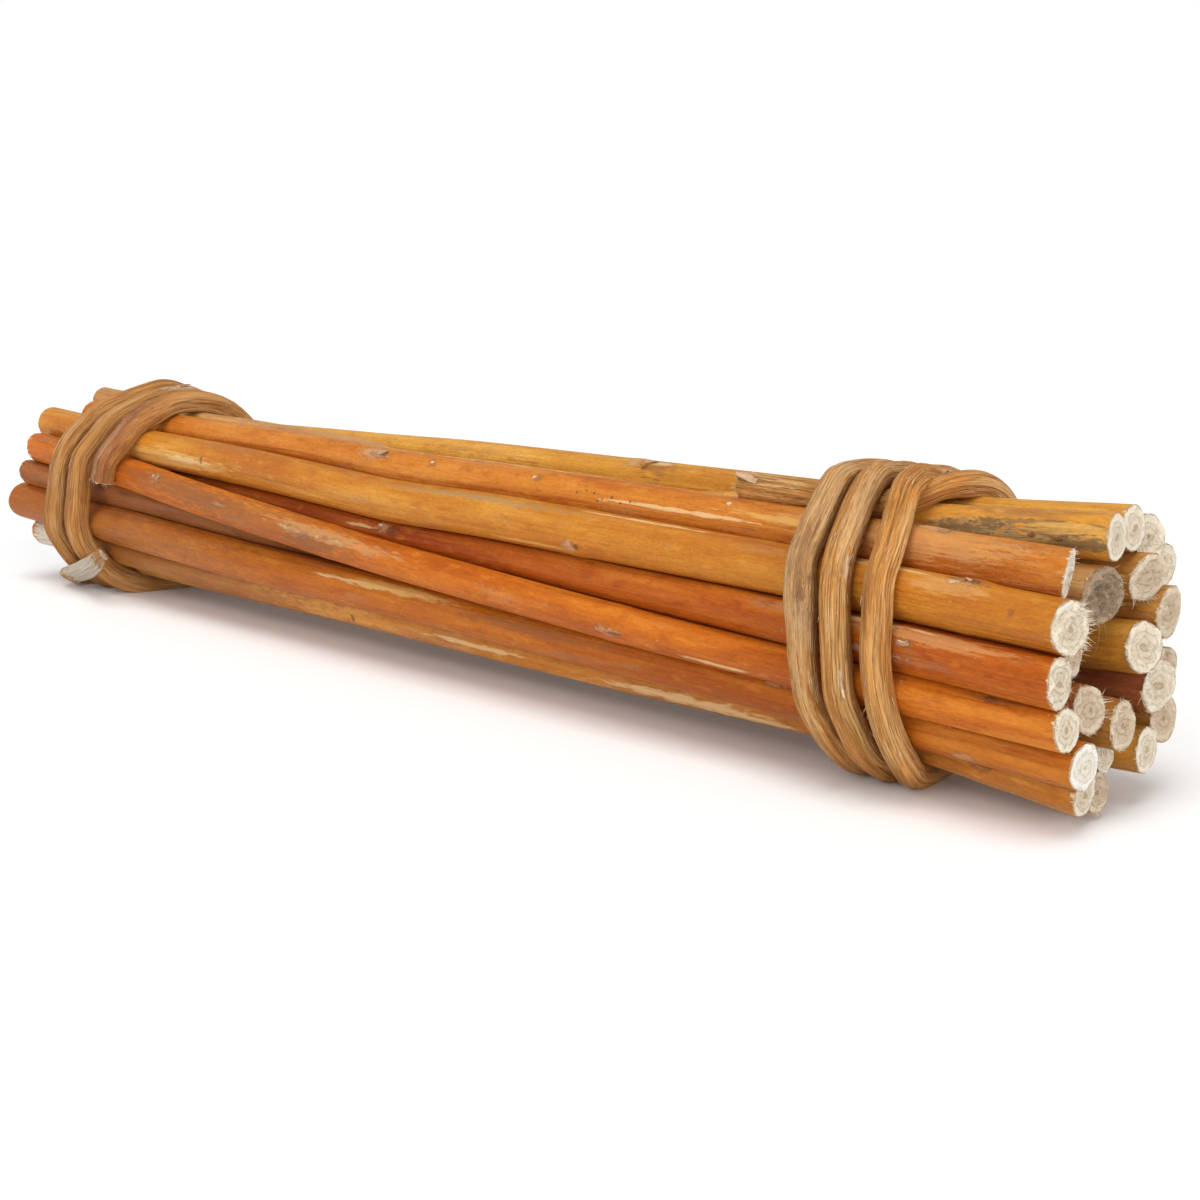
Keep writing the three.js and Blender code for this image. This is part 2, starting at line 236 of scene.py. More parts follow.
def rim_fibres(shape, dice, end, count, longest, side=0.0, spread=180.0, lift=0.2, curl=0.35):
    """Fibres torn up round the rim of a cut, all round it or on one side only."""
    rim, way = end["rim"], end["way"]
    middle = rim.mean(axis=0)
    clocks = np.arange(len(rim)) * 360.0 / len(rim)
    from_side = np.abs((clocks - side + 180) % 360 - 180)
    chosen = dice.choice(np.where(from_side <= spread)[0], count)
    outwards = rim[chosen] - middle
    roots = middle + outwards * dice.uniform(0.78, 1.0, count)[:, None] - way * 0.1
    ways = outwards / np.linalg.norm(outwards, axis=1, keepdims=True) * lift + way
    ways = ways + dice.normal(0, 0.35, (count, 3))
    lengths = longest * dice.uniform(0.25, 1.0, count) ** 1.6
    loose_fibres(shape, dice, roots, ways, lengths, rim_fibre_thickness, curl)


def face_fibres(shape, dice, end, count, longest):
    """Short fibres standing up all over a cut."""
    rim, way = end["rim"], end["way"]
    middle = rim.mean(axis=0)
    chosen = dice.integers(0, len(rim), count)
    roots = middle + (rim[chosen] - middle) * np.sqrt(dice.uniform(0.01, 0.96, count))[:, None]
    ways = dice.normal(0, 0.6, (count, 3)) + way * dice.uniform(0.6, 1.4, count)[:, None]
    lengths = longest * dice.uniform(0.3, 1.0, count)
    loose_fibres(shape, dice, roots, ways, lengths, face_fibre_thickness, 0.5)


# THE TWIGS: BARK
# Dried willow bark is thin, satin and orange-brown, with fine lengthwise grain, darker and
# paler stretches, tiny dark pores, and grey or bare scars where leaves and skin came off.


def node(tree, kind, sockets=None, **settings):
    """A shader node with its settings, and each socket either linked or set."""
    made = tree.nodes.new("ShaderNode" + kind)
    for key, value in settings.items():
        setattr(made, key, value)
    for key, value in (sockets or {}).items():
        if isinstance(value, bpy.types.NodeSocket):
            tree.links.new(value, made.inputs[key])
        else:
            made.inputs[key].default_value = value
    return made


def blend(tree, factor, first, second, how="MIX"):
    """One colour mixed into another."""
    sockets = {0: factor, 6: first, 7: second}
    return node(tree, "Mix", sockets, data_type="RGBA", blend_type=how, clamp_factor=True).outputs[2]


def ramp(tree, value, low, high, start=0.0, end=1.0):
    """A value spread smoothly from one range to another."""
    sockets = {"Value": value, "From Min": low, "From Max": high, "To Min": start, "To Max": end}
    return node(tree, "MapRange", sockets, interpolation_type="SMOOTHSTEP").outputs["Result"]


def layered(tree, colour, layers):
    """A colour with others laid over it, each as its value runs from none to full strength."""
    for value, none_at, full_at, strength, tint in layers:
        colour = blend(tree, ramp(tree, value, none_at, full_at, 0.0, strength), colour, tint)
    return colour


def maths(kind, operation):
    """A function that works out one sum of two values or of two vectors."""
    def result(tree, first, second):
        return node(tree, kind, {0: first, 1: second}, operation=operation).outputs[0]

    return result


plus, minus = maths("Math", "ADD"), maths("Math", "SUBTRACT")
times, divided = maths("Math", "MULTIPLY"), maths("Math", "DIVIDE")
shifted, stretched = maths("VectorMath", "ADD"), maths("VectorMath", "MULTIPLY")


def clouds(tree, place, scale, detail, roughness):
    """Soft random patches, from 0 to 1."""
    sockets = {"Vector": place, "Scale": scale, "Detail": detail, "Roughness": roughness}
    return node(tree, "TexNoise", sockets).outputs["Fac"]


def new_group(name, inputs, outputs):
    """An empty node group with named sockets."""
    tree = bpy.data.node_groups.new(name, "ShaderNodeTree")
    kinds = {"value": "NodeSocketFloat", "colour": "NodeSocketColor", "vector": "NodeSocketVector"}
    for label, kind in inputs:
        tree.interface.new_socket(label, in_out="INPUT", socket_type=kinds[kind])
    for label, kind in outputs:
        tree.interface.new_socket(label, in_out="OUTPUT", socket_type=kinds[kind])
    return tree, tree.nodes.new("NodeGroupInput").outputs, tree.nodes.new("NodeGroupOutput").inputs


def placed(tree, group, sockets):
    """The outputs of a node group in use."""
    return node(tree, "Group", sockets, node_tree=group).outputs


def grain_group():
    """Streaks that run along a rod, as a value from 0 to 1."""
    inputs = [("Rod", "vector"), ("Seed", "value"), ("Per mm along", "value"), ("Per mm across", "value")]
    tree, given, result = new_group("Lengthwise grain", inputs, [("Streak", "value")])
    along, across = given["Per mm along"], given["Per mm across"]
    scale = node(tree, "CombineXYZ", {0: along, 1: across, 2: across}).outputs[0]
    moved = shifted(tree, stretched(tree, given["Rod"], scale), given["Seed"])
    tree.links.new(clouds(tree, moved, 1.0, 3.0, 0.6), result["Streak"])
    return tree


grain = grain_group()


def grain_streaks(tree, given, along, across, shift):
    """Grain of its own shift, with so many streaks per mm along and across a rod."""
    moved = plus(tree, given["Seed"], shift)
    sockets = {"Rod": given["Rod"], "Seed": moved, "Per mm along": along, "Per mm across": across}
    return placed(tree, grain, sockets)["Streak"]


def willow_bark_group():
    """Bark colour, gloss and relief of a dried willow rod."""
    inputs = [("Rod", "vector"), ("Seed", "value"), ("Base", "colour"), ("Dark", "colour"),
              ("Light", "colour"), ("Streaks", "value"), ("Pores", "value")]
    outputs = [("Colour", "colour"), ("Roughness", "value"), ("Height", "value")]
    tree, given, result = new_group("Willow bark", inputs, outputs)
    film_brown = (0.36, 0.19, 0.10, 1)
    wart_tan = (0.66, 0.40, 0.19, 1)
    pore_brown = (0.16, 0.05, 0.012, 1)

    def dots(stretch, size, shift, low, high):
        """Small dots in patches, as a mask."""
        cells = shifted(tree, stretched(tree, given["Rod"], stretch), given["Seed"])
        distance = node(tree, "TexVoronoi", {"Vector": cells, "Scale": 1.0}).outputs["Distance"]
        dot = ramp(tree, distance, size, size * 0.5)
        return times(tree, dot, ramp(tree, grain_streaks(tree, given, 0.06, 0.3, shift), low, high))

    blush = grain_streaks(tree, given, 0.03, 0.22, 11.0)
    long_streaks = grain_streaks(tree, given, 0.02, 0.8, 0.0)
    thin_streaks = grain_streaks(tree, given, 0.09, 1.9, 23.0)
    skin = grain_streaks(tree, given, 1.3, 3.4, 37.0)
    film = grain_streaks(tree, given, 0.05, 0.4, 67.0)
    blotches = grain_streaks(tree, given, 0.28, 0.8, 83.0)
    spread = times(tree, minus(tree, blush, 0.5), given["Streaks"])
    colour = layered(tree, given["Base"], (
        (spread, -0.02, -0.17, 0.8, given["Dark"]),
        (spread, 0.02, 0.17, 0.8, given["Light"]),
        (long_streaks, 0.5, 0.3, 0.45, given["Dark"]),
        (long_streaks, 0.54, 0.72, 0.35, given["Light"]),
        (film, 0.56, 0.72, 0.4, film_brown),
        (thin_streaks, 0.48, 0.3, 0.26, given["Dark"]),
        (thin_streaks, 0.56, 0.74, 0.2, given["Light"]),
        (blotches, 0.47, 0.3, 0.55, given["Dark"]),
        (blotches, 0.55, 0.72, 0.5, given["Light"]),
    ))
    mottle = ramp(tree, skin, 0.3, 0.7, 0.9, 1.08)
    grey = node(tree, "CombineXYZ", {0: mottle, 1: mottle, 2: mottle}).outputs[0]
    colour = blend(tree, 1.0, colour, grey, "MULTIPLY")
    warts = dots((0.5, 0.9, 0.9), 0.12, 91.0, 0.46, 0.6)
    colour = blend(tree, times(tree, warts, 0.35), colour, wart_tan)
    pores = times(tree, dots((2.0, 2.8, 2.8), 0.24, 51.0, 0.5, 0.62), given["Pores"])
    colour = blend(tree, times(tree, pores, 0.55), colour, pore_brown)
    tree.links.new(colour, result["Colour"])
    gloss = ramp(tree, thin_streaks, 0.3, 0.7, 0.52, 0.4)
    tree.links.new(plus(tree, gloss, times(tree, pores, 0.2)), result["Roughness"])
    relief = plus(tree, times(tree, thin_streaks, 0.15), times(tree, skin, 0.05))
    relief = plus(tree, relief, times(tree, long_streaks, 0.36))
    relief = plus(tree, relief, times(tree, warts, 0.05))
    tree.links.new(minus(tree, relief, times(tree, pores, 0.05)), result["Height"])
    return tree


willow_bark = willow_bark_group()


def mark_group():
    """A ragged oval mark at one place on a rod, as a mask."""
    inputs = [("Rod", "vector"), ("Along", "value"), ("Clock", "value"), ("Half length", "value"),
              ("Half width", "value"), ("Raggedness", "value"), ("Tears per mm", "value")]
    tree, given, result = new_group("Bark mark", inputs, [("Mask", "value")])
    turning = {"Vector": given["Rod"], "Angle": given["Clock"]}
    turned = node(tree, "VectorRotate", turning, rotation_type="X_AXIS")
    parts = node(tree, "SeparateXYZ", {0: turned.outputs[0]}).outputs
    stretch = node(tree, "CombineXYZ", {0: given["Tears per mm"], 1: 2.3, 2: 2.3}).outputs[0]
    torn = clouds(tree, stretched(tree, given["Rod"], stretch), 1.0, 3.0, 0.65)
    shake = times(tree, minus(tree, torn, 0.5), given["Raggedness"])
    lengthwise = divided(tree, minus(tree, parts[0], given["Along"]), given["Half length"])
    sideways = divided(tree, parts[2], given["Half width"])
    flat = node(tree, "CombineXYZ", {0: lengthwise, 1: sideways}).outputs[0]
    distance = node(tree, "VectorMath", {0: flat}, operation="LENGTH").outputs["Value"]
    edge = ramp(tree, plus(tree, distance, shake), 1.1, 0.6)
    facing = node(tree, "Math", {0: parts[1], 1: 0.0}, operation="LESS_THAN").outputs[0]
    tree.links.new(times(tree, edge, facing), result["Mask"])
    return tree


bark_mark = mark_group()

# Kind of mark: its colour, strength, raggedness, tears along it, and how far it stands up or lies sunk
mark_kinds = {
    "peeled": ((0.66, 0.37, 0.10, 1), 0.7, 2.4, 0.25, -0.03),
    "pale": ((0.74, 0.50, 0.24, 1), 0.75, 2.6, 0.3, -0.05),
    "sallow": ((0.62, 0.34, 0.13, 1), 0.45, 2.6, 0.3, 0.0),
    "worn": ((0.76, 0.50, 0.25, 1), 0.5, 3.0, 0.5, 0.0),
    "scar": ((0.30, 0.16, 0.09, 1), 0.7, 2.4, 1.4, 0.1),
    "silver": ((0.52, 0.32, 0.18, 1), 0.5, 2.8, 1.2, 0.1),
    "nick": ((0.78, 0.60, 0.40, 1), 0.7, 2.0, 1.5, 0.12),
    "bare": ((0.64, 0.56, 0.44, 1), 0.95, 2.0, 0.4, 0.0),
    "ruddy": ((0.34, 0.12, 0.05, 1), 0.75, 1.6, 0.4, 0.0),
    "dark": ((0.14, 0.05, 0.018, 1), 0.7, 1.8, 1.2, -0.1),
    # A shade mark darkens the bark. On the inner twigs and at the far ends of the brown-orange and tan twigs
    # it is painted shade.
    "shade": ((0.22, 0.085, 0.03, 1), 0.5, 2.6, 0.5, 0.02),
    "stain": ((0.15, 0.10, 0.05, 1), 0.7, 3.6, 1.0, 0.0),
    "olive": ((0.31, 0.22, 0.10, 1), 0.6, 3.4, 0.8, 0.0),
}


def add_marks(tree, rod, colour, height, marks):
    """The marks of one rod, each laid over the bark before it.

    A mark is its kind, its place along the rod, its clock position (0 faces front, 90 up),
    half its length and half its width.
    """
    for kind, along, clock, half_length, half_width in marks:
        tint, strength, ragged, tears, tall = mark_kinds[kind]
        sockets = {"Rod": rod, "Along": along, "Clock": math.radians(clock), "Half length": half_length,
                   "Half width": half_width, "Raggedness": ragged, "Tears per mm": tears}
        mask = placed(tree, bark_mark, sockets)["Mask"]
        colour = blend(tree, times(tree, mask, strength), colour, tint)
        height = plus(tree, height, times(tree, mask, tall))
    return colour, height


def chipped_rim_group():
    """Where the bark has broken away at a cut end and bare wood shows, as a mask."""
    inputs = [("Rod", "vector"), ("Cut", "value"), ("Depth", "value")]
    tree, given, result = new_group("Chipped rim", inputs, [("Mask", "value")])
    around = stretched(tree, given["Rod"], (0.3, 1.7, 1.7))
    reach = ramp(tree, clouds(tree, around, 1.0, 5.0, 0.65), 0.46, 0.72)
    depth = plus(tree, times(tree, reach, given["Depth"]), 0.05)
    inside = minus(tree, depth, given["Cut"])
    tree.links.new(ramp(tree, inside, -0.14, 0.14), result["Mask"])
    return tree


chipped_rim = chipped_rim_group()


def new_material(name):
    """A material with its node tree and its surface shader."""
    material = bpy.data.materials.new(name)
    material.use_nodes = True
    return material, material.node_tree, material.node_tree.nodes["Principled BSDF"]


def finish_with(tree, shader, colour, roughness, height):
    """A plain dielectric surface with relief given in millimetres."""
    tree.links.new(colour, shader.inputs["Base Color"])
    tree.links.new(roughness, shader.inputs["Roughness"])
    bump = node(tree, "Bump", {"Height": height, "Distance": 0.001, "Strength": 1.0})
    tree.links.new(bump.outputs["Normal"], shader.inputs["Normal"])
    shader.inputs["IOR"].default_value = 1.4
    shader.inputs["Specular IOR Level"].default_value = 0.2


def bark_material(name, seed, base, dark, light, marks=(), streaks=1.0, pores=0.5, chipped=0.5):
    """The bark of one rod. The marks are as in add_marks and chipped is the depth of the torn rim."""
    material, tree, shader = new_material(name)
    rod = node(tree, "Attribute", attribute_name="rod").outputs["Vector"]
    cut = node(tree, "Attribute", attribute_name="cut").outputs["Fac"]
    sockets = {"Rod": rod, "Seed": seed, "Base": (*base, 1), "Dark": (*dark, 1), "Light": (*light, 1),
               "Streaks": streaks, "Pores": pores}
    bark = placed(tree, willow_bark, sockets)
    colour, height = add_marks(tree, rod, bark["Colour"], bark["Height"], marks)
    chip_cream = (0.72, 0.51, 0.29, 1)
    bare = placed(tree, chipped_rim, {"Rod": rod, "Cut": cut, "Depth": chipped})["Mask"]
    colour = blend(tree, bare, colour, chip_cream)
    height = minus(tree, height, times(tree, bare, 0.1))
    roughness = plus(tree, bark["Roughness"], times(tree, bare, 0.3))
    finish_with(tree, shader, colour, roughness, height)
    return material


def cut_wood_group():
    """End grain of a cut rod: a whiter outer ring, a browner core, faint year rings and a soft pith."""
    inputs = [("Rod", "vector"), ("Out", "value"), ("Seed", "value"), ("Wood", "colour"),
              ("Core", "colour"), ("Pith", "colour")]
    outputs = [("Colour", "colour"), ("Height", "value")]
    tree, given, result = new_group("Cut willow", inputs, outputs)
    bark_brown = (0.36, 0.17, 0.06, 1)
    moved = shifted(tree, stretched(tree, given["Rod"], (0.0, 1.0, 1.0)), given["Seed"])
    fine = clouds(tree, moved, 4.6, 3.0, 0.7)
    torn = clouds(tree, moved, 1.5, 3.0, 0.6)
    broad = clouds(tree, moved, 0.6, 2.0, 0.6)
    shift = times(tree, minus(tree, broad, 0.5), 0.7)
    out = plus(tree, given["Out"], shift)
    colour = blend(tree, ramp(tree, out, 0.95, 0.35, 0.0, 0.75), given["Wood"], given["Core"])
    steps = plus(tree, times(tree, out, 20.0), times(tree, torn, 2.0))
    wave = node(tree, "Math", {0: steps}, operation="SINE").outputs[0]
    rings = times(tree, ramp(tree, wave, 0.5, 0.95), ramp(tree, fine, 0.4, 0.56))
    colour = blend(tree, times(tree, rings, 0.4), colour, given["Pith"])
    colour = layered(tree, colour, (
        (torn, 0.5, 0.66, 0.5, given["Wood"]),
        (torn, 0.46, 0.32, 0.6, given["Core"]),
        (fine, 0.42, 0.3, 0.45, given["Pith"]),
    ))
    pith = ramp(tree, out, 0.2, 0.02)
    colour = blend(tree, times(tree, pith, 0.5), colour, given["Pith"])
    skin = times(tree, ramp(tree, given["Out"], 0.93, 0.98), ramp(tree, broad, 0.38, 0.5))
    colour = blend(tree, times(tree, skin, 0.75), colour, bark_brown)
    tree.links.new(colour, result["Colour"])
    relief = plus(tree, times(tree, fine, 0.3), times(tree, torn, 0.5))
    relief = minus(tree, relief, times(tree, pith, 0.12))
    tree.links.new(minus(tree, relief, times(tree, rings, 0.12)), result["Height"])
    return tree


cut_willow = cut_wood_group()


def wood_material(name, seed, wood, core, pith):
    """End grain with its outer wood, its core and its pith."""
    material, tree, shader = new_material(name)
    rod = node(tree, "Attribute", attribute_name="rod").outputs["Vector"]
    out = node(tree, "Attribute", attribute_name="cut").outputs["Fac"]
    sockets = {"Rod": rod, "Out": out, "Seed": seed, "Wood": (*wood, 1), "Core": (*core, 1),
               "Pith": (*pith, 1)}
    cut = placed(tree, cut_willow, sockets)
    rough = ramp(tree, cut["Height"], 0.0, 0.3, 0.95, 0.8)
    finish_with(tree, shader, cut["Colour"], rough, cut["Height"])
    return material


def fibre_material(name, pale, tan):
    """Loose fibres, each of one colour between the two."""
    material, tree, shader = new_material(name)
    rod = node(tree, "Attribute", attribute_name="rod").outputs["Vector"]
    choice = ramp(tree, clouds(tree, rod, 1.0, 1.0, 0.5), 0.4, 0.66)
    colour = blend(tree, choice, (*pale, 1), (*tan, 1))
    tree.links.new(colour, shader.inputs["Base Color"])
    shader.inputs["Roughness"].default_value = 0.8
    return material


pale_wood = wood_material("pale_wood", 3.0, (0.82, 0.74, 0.60), (0.64, 0.52, 0.37), (0.40, 0.27, 0.16))
clean_wood = wood_material("clean_wood", 8.0, (0.88, 0.85, 0.77), (0.74, 0.65, 0.53), (0.56, 0.42, 0.28))
tan_wood = wood_material("tan_wood", 13.0, (0.70, 0.58, 0.43), (0.50, 0.37, 0.24), (0.32, 0.20, 0.11))
grey_wood = wood_material("grey_wood", 21.0, (0.44, 0.32, 0.21), (0.16, 0.11, 0.07), (0.10, 0.06, 0.034))
white_fibres = fibre_material("white_fibres", (0.86, 0.80, 0.70), (0.66, 0.52, 0.34))
brown_fibres = fibre_material("brown_fibres", (0.66, 0.52, 0.36), (0.36, 0.22, 0.11))


def bud_flake(shape, bark_at, along, clock, length, width, lift):
    """A small pointed scale of bark left standing where a bud or side shoot broke off."""
    rows, sides, thickness, sunk = 8, 10, 0.16, 0.12
    part = np.linspace(0, 1, rows)
    spot, out = bark_at(along + length * part, np.full(rows, math.radians(clock)))
    middle = spot + out * (lift * part ** 1.5 - sunk)[:, None]
    across = np.cross(out, spot[-1] - spot[0])
    across /= np.linalg.norm(across, axis=1, keepdims=True)
    turn = np.arange(sides) * 2 * np.pi / sides
    wide = width * np.sqrt(np.clip(1.02 - part ** 1.7, 0, 1)) / 2
    thick = thickness * (1.1 - part)
    ring = across[:, None] * (np.cos(turn) * wide[:, None])[..., None]
    ring = ring + out[:, None] * (np.sin(turn) * thick[:, None])[..., None]
    corners = middle[:, None] + ring
    far_from_cut = 5.0
    shape.add(corners, strip_faces(rows, sides)[:, ::-1], 3, corners - spot[0], far_from_cut)


bud_scale = bark_material(
    "bud_scale", 2.0, (0.50, 0.31, 0.18), (0.26, 0.12, 0.055), (0.76, 0.57, 0.38), pores=0.0, streaks=2.0)


def make_twig(name, seed, bark, wood=pale_wood, fibres=white_fibres, knots=(), rough=0.07, rim=34, over=20,
              longest=0.7, tufts=(), flakes=()):
    """One twig in place of its solid, with its bark, its two cut faces and its loose fibres.

    Each of knots is a place along the twig, a clock position and a height. Each of tufts is a
    side, a spread, a count, a length, a lift and a curl. The flakes are as in bud_flake.
    """
    dice = np.random.default_rng(seed)
    shape = Shape()
    near, far, bark_at = twig_body(shape, name, dice, knots)
    for end in (near, far):
        cut_face(shape, dice, end, rough)
        rim_fibres(shape, dice, end, rim, longest)
        face_fibres(shape, dice, end, over, longest * 0.6)
    for side, spread, count, length, lift, curl in tufts:
        rim_fibres(shape, dice, near, count, length, side, spread, lift, curl)
    for flake in flakes:
        bud_flake(shape, bark_at, *flake)
    piece = shape.make(name + "_rod", [bark, wood, fibres, bud_scale])
    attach(piece, "root")
    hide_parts(name)


# THE UPPER TWIGS
# The rods along the top: a golden one, one with olive-grey stains near its cut, the reddish
# one below them with a grey-brown scar at its middle, and one with a weathered slanting cut.

golden_bark = bark_material(
    "golden_bark", 5.0, (0.60, 0.27, 0.035), (0.44, 0.16, 0.02), (0.70, 0.38, 0.08),
    marks=[("silver", 33, 62, 1.3, 1.0), ("shade", 37.5, 60, 3.4, 1.8), ("dark", 35.4, 50, 0.5, 0.8),
           ("pale", 37.5, 78, 2.0, 0.5), ("dark", 62, 60, 0.5, 0.3)],
    pores=0.8,
)
make_twig("twig_yellow", 101, golden_bark, knots=[(33, 60, 0.16)], flakes=[(34.5, 82, 2.2, 1.0, 0.3)])

stained_bark = bark_material(
    "stained_bark", 9.0, (0.60, 0.26, 0.035), (0.38, 0.14, 0.02), (0.72, 0.38, 0.085),
    marks=[("olive", 89, 2, 7, 1.4), ("stain", 88, 8, 5, 0.7), ("olive", 98, -12, 8, 1.2),
           ("stain", 96, 34, 8.0, 0.35), ("stain", 91, 26, 2.4, 0.4), ("stain", 101, -16, 5, 0.7),
           ("stain", 98, 12, 4, 0.35), ("dark", 96, 2, 0.5, 0.3), ("dark", 99, -4, 0.8, 0.3),
           ("peeled", 100, 22, 5, 0.7)],
    streaks=1.3, chipped=0.25,
)
make_twig("twig_stained", 102, stained_bark, rough=0.03, rim=30, over=14, longest=0.4)

red_upper_bark = bark_material(
    "red_upper_bark", 14.0, (0.53, 0.172, 0.020), (0.38, 0.09, 0.010), (0.64, 0.26, 0.045),
    marks=[("sallow", 84, 40, 17, 2.2), ("silver", -8.2, 50, 3.6, 1.2), ("scar", -6.9, 44, 1.8, 0.5),
           ("shade", 5.4, 44, 1.0, 0.8), ("nick", 5.4, 50, 0.4, 0.3), ("nick", 26.2, 47, 0.5, 0.3),
           ("shade", 27, 43, 1.1, 0.6), ("nick", 59, 55, 0.4, 0.35), ("silver", 86.6, 84, 3.2, 0.6),
           ("scar", 88.0, 80, 0.9, 0.5),
           ("pale", 20, 95, 30, 0.35), ("pale", 52, 8, 12, 0.3), ("peeled", 70, 30, 12, 0.5),
           ("dark", 37.6, 20, 0.22, 0.18), ("dark", 39.2, 8, 0.2, 0.16), ("dark", 40.8, 17, 0.25, 0.2),
           ("dark", 42.4, 4, 0.2, 0.16), ("dark", 36.2, 26, 0.2, 0.14), ("dark", 44.0, 12, 0.2, 0.16),
           ("dark", 34.6, 16, 0.2, 0.14), ("dark", 38.4, 0, 0.2, 0.14)],
    pores=1.0, chipped=0.5,
)
make_twig("twig_red_upper", 103, red_upper_bark, knots=[(-7.5, 48, 0.14), (86, 84, 0.14)],
          tufts=[(70, 60, 14, 1.2, 0.4, 0.5)], flakes=[(-7.0, 58, 2.2, 1.1, 0.5), (86.6, 86, 2.4, 0.8, 0.35)])

slant_bark = bark_material(
    "slant_bark", 19.0, (0.48, 0.23, 0.07), (0.32, 0.13, 0.03), (0.60, 0.36, 0.14), pores=0.3)
make_twig("twig_slant_cut", 104, slant_bark, wood=grey_wood, fibres=brown_fibres, rough=0.14, rim=70, over=50,
          longest=0.5, tufts=[(-75, 30, 12, 2.8, 0.3, 1.1), (170, 60, 60, 0.8, 0.3, 0.5)])


# THE FRONT TWIGS
# The rods that face the front: an ochre one with a long peeled streak, a dark red one half
# hidden behind it, a vivid orange one that crosses it, an orange-brown and a tan one below.

ochre_bark = bark_material(
    "ochre_bark", 23.0, (0.50, 0.18, 0.018), (0.40, 0.115, 0.014), (0.60, 0.27, 0.04),
    marks=[("peeled", -60, -10, 22, 1.6), ("pale", -52, -4, 9, 0.6), ("dark", -47, 8, 0.4, 0.7),
           ("olive", -80, 10, 10, 1.0), ("peeled", 29, -42, 8, 0.35), ("pale", 48, 80, 11, 0.25),
           ("pale", 84, 76, 8, 0.4), ("silver", 37.3, -27, 1.5, 0.8), ("dark", 38.6, -25, 0.4, 0.4),
           ("scar", 93.3, 78, 2.4, 1.0), ("dark", 94.1, 76, 0.9, 0.5), ("shade", 100, 20, 0.5, 0.5),
           ("olive", 20, 60, 22, 0.5), ("sallow", 92, 52, 6, 1.0), ("nick", 92.2, 66, 0.8, 0.35)],
    pores=0.35, chipped=0.3,
)
make_twig("twig_ochre", 111, ochre_bark, knots=[(-47, 8, 0.1), (37.4, -27, 0.2), (94, 80, 0.26)], rough=0.11,
          rim=90, over=50, longest=0.6, tufts=[(175, 60, 110, 1.15, 0.6, 0.25)],
          flakes=[(36.2, -24, 2.0, 0.9, 0.45), (95.6, 79, -2.4, 0.9, 0.6), (94.5, 75, -1.6, 0.7, 0.3)])

dark_red_bark = bark_material(
    "dark_red_bark", 31.0, (0.41, 0.092, 0.007), (0.28, 0.044, 0.004), (0.52, 0.155, 0.017),
    marks=[("silver", -2.2, 30, 1.8, 0.8), ("dark", 0.2, 24, 1.4, 0.8), ("nick", -3.0, 36, 0.6, 0.3),
           ("pale", -8, 20, 3.4, 0.3), ("scar", 88, 25, 1.2, 0.5), ("nick", 88, 25, 0.9, 0.15),
           ("pale", 84, 60, 6, 0.3), ("silver", 80, -10, 8, 0.5), ("sallow", 90, 50, 12, 0.9)],
    pores=0.6, chipped=0.45,
)
make_twig("twig_dark_red", 112, dark_red_bark, knots=[(-1, 28, 0.22), (88, 25, 0.1)], rough=0.1,
          rim=70, over=50, longest=0.5, tufts=[(200, 60, 24, 1.0, 0.5, 0.4)],
          flakes=[(-2.4, 32, 1.6, 0.8, 0.5), (87.4, 22, 1.5, 0.35, 0.5), (88.6, 27, -1.3, 0.3, 0.6),
                  (87.8, 30, 0.9, 0.3, 0.7)])

orange_bark = bark_material(
    "orange_bark", 37.0, (0.52, 0.138, 0.010), (0.36, 0.075, 0.006), (0.63, 0.215, 0.025),
    marks=[("silver", -57.4, 40, 1.5, 1.0), ("nick", -58, 45, 0.5, 0.4), ("silver", -18, 14, 3.6, 0.8),
           ("shade", -14, 0, 6.0, 1.2), ("nick", -12, 22, 0.6, 0.35), ("silver", -8, 20, 2.6, 0.6),
           ("dark", -10, 28, 0.8, 0.3), ("pale", -20, 20, 1.6, 0.3),
           ("scar", -15.5, 8, 1.6, 0.5), ("pale", -38, 24, 2.4, 0.25), ("shade", -50, 30, 22, 2.0),
           ("shade", -26, 16, 30, 2.8), ("sallow", -10, 34, 16, 1.0), ("silver", 45.4, -12, 2.4, 0.6),
           ("dark", 46.6, -16, 1.6, 0.25), ("pale", 62, -38, 5, 0.35), ("silver", 84.3, 50, 1.6, 0.8),
           ("scar", 85.2, 47, 0.7, 0.5), ("dark", 97.5, 50, 0.7, 0.4), ("shade", 98, 58, 4, 0.8)],
    pores=1.0, chipped=0.9,
)
make_twig("twig_orange", 113, orange_bark,
          knots=[(-58, 45, 0.16), (-12, 18, 0.2), (45.5, -14, 0.16), (86.5, 35, 0.14)],
          rough=0.04, rim=40, over=30, longest=0.6, tufts=[(10, 40, 16, 1.1, 0.2, 0.4)],
          flakes=[(-57.6, 44, 1.4, 0.8, 0.35), (-12.5, 24, 1.8, 0.7, 0.3), (44.4, -10, 2.6, 0.7, 0.3),
                  (86.0, 42, 1.4, 0.9, 0.4), (87.4, 32, -1.2, 0.7, 0.4)])

brown_orange_bark = bark_material(
    "brown_orange_bark", 43.0, (0.43, 0.118, 0.009), (0.31, 0.068, 0.006), (0.55, 0.185, 0.022),
    marks=[("pale", -1, 34, 13, 0.45), ("peeled", 4, 40, 12, 0.8), ("shade", 30, 20, 14, 0.9),
           ("silver", 68.8, 33, 2.0, 0.5), ("nick", 69.6, 38, 0.5, 0.2), ("silver", 93, -43, 1.7, 0.7),
           # The long shade mark over the far end of this twig is painted shade.
           ("shade", -75, 10, 45, 3.5)],
    pores=0.5, chipped=0.15,
)
make_twig("twig_brown_orange", 114, brown_orange_bark, wood=clean_wood, knots=[(68.8, 33, 0.14)], rough=0.025,
          rim=30, over=12, longest=0.4, flakes=[(67.6, 36, 2.0, 0.6, 0.3)])

